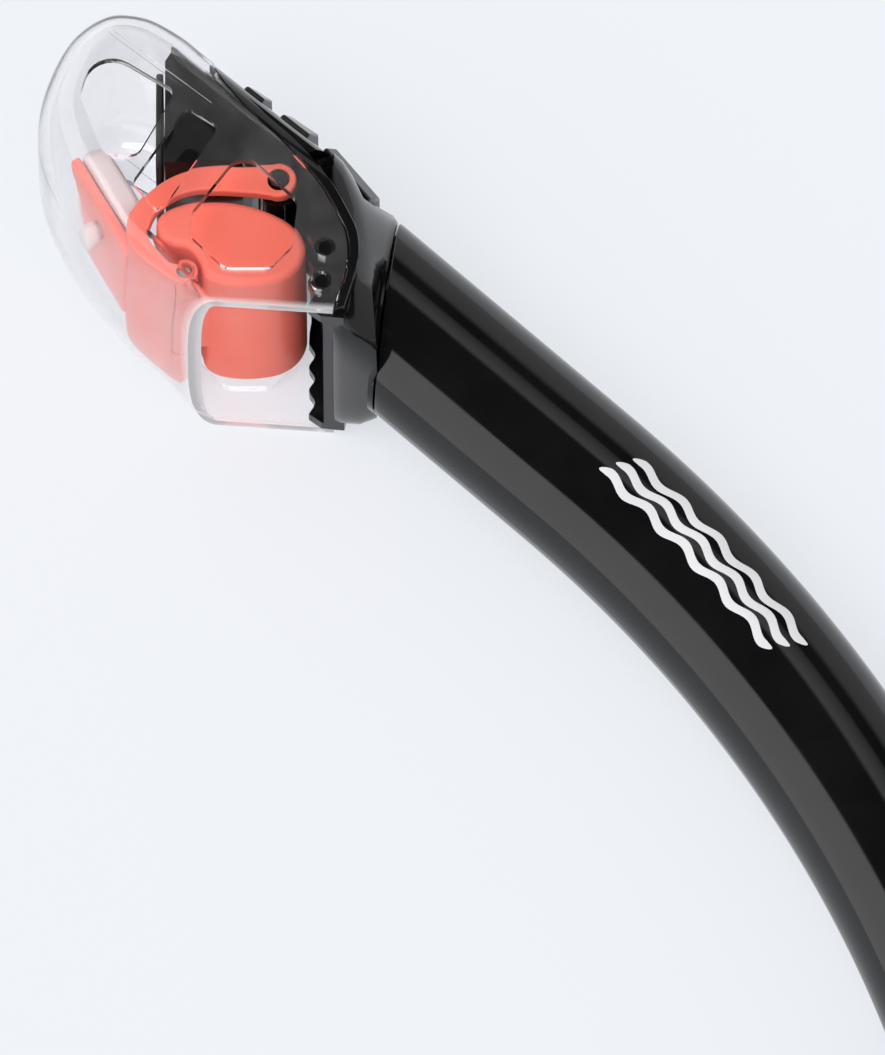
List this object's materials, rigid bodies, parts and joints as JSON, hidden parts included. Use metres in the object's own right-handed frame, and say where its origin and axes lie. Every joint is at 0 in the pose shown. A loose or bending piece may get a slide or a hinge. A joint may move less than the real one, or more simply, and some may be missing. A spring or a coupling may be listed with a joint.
{
  "type": "snorkel tube",
  "caption": "Dry-top snorkel: clear splash hood over a float valve, curved oval tube, mask-strap keeper, flexible hose, purge chamber and mouthpiece.",
  "frame": {"origin": "bottom centre of the whole box, on the surface the snorkel lies on", "axes": "+X and +Y lie in the plane of the tube's curve, +Y towards the top of the tube and -X towards the mouthpiece, and +Z points sideways out of the snorkel, up from the surface"},
  "size_m": [0.1814, 0.3908, 0.0542],
  "materials": {
    "clear_shell": "clear polycarbonate, polished",
    "gloss_black": "gloss",
    "satin_black": "satin moulded",
    "black_rubber": "matt",
    "black_silicone": "soft satin silicone",
    "milky_silicone": "translucent silicone",
    "coral": "satin moulded",
    "pin_steel": "plain"
  },
  "bodies": {
    "tube": {"splash_hood": "clear_shell", "valve_housing": "gloss_black", "port_gasket": "black_rubber", "arm_pin_near": "gloss_black", "arm_pin_far": "gloss_black", "main_tube": "gloss_black", "tube_seal": "black_rubber", "keeper_collar": "black_rubber", "hose_adapter": "satin_black", "flex_hose": "black_silicone", "hose_band_upper": "satin_black"},
    "arm": {"float_arm": "coral", "seal_pad": "milky_silicone", "float_pin": "pin_steel"},
    "float": {"float_body": "coral", "float_cap": "coral"},
    "keeper": {"keeper_clip": "satin_black", "keeper_rivet": "satin_black"},
    "mouth_end": {"hose_band_lower": "satin_black", "purge_chamber": "satin_black", "purge_cover": "satin_black", "mouthpiece": "black_silicone", "mouthpiece_tie": "satin_black"},
    "purge_flap": {"purge_valve": "black_silicone"}
  },
  "joints": [
    {"name": "arm_swing", "type": "hinge", "parent": "tube", "child": "arm", "pos_m": [-0.05056, 0.16263, 0.0218], "axis": [0, 0, 1], "range_deg": [-29, 0]},
    {"name": "float_rock", "type": "hinge", "parent": "arm", "child": "float", "pos_m": [-0.06596, 0.14563, 0.0218], "axis": [0, 0, 1], "range_deg": [-8, 0]},
    {"name": "keeper_swivel", "type": "hinge", "parent": "tube", "child": "keeper", "pos_m": [0.06928, -0.00737, 0.0077], "axis": [0, 0, 1], "range_deg": [-30, 30]},
    {"name": "hose_flex", "type": "hinge", "parent": "tube", "child": "mouth_end", "pos_m": [0.07546, -0.10392, 0.0245], "axis": [0, 0, 1], "range_deg": [-20, 20], "stiffness_Nm_per_rad": 0.4, "deforming": ["flex_hose"]},
    {"name": "purge_travel", "type": "slide", "parent": "mouth_end", "child": "purge_flap", "axis": [-0.2419, -0.9703, 0], "range_m": [0, 0.0012], "stiffness_N_per_m": 30}
  ]
}
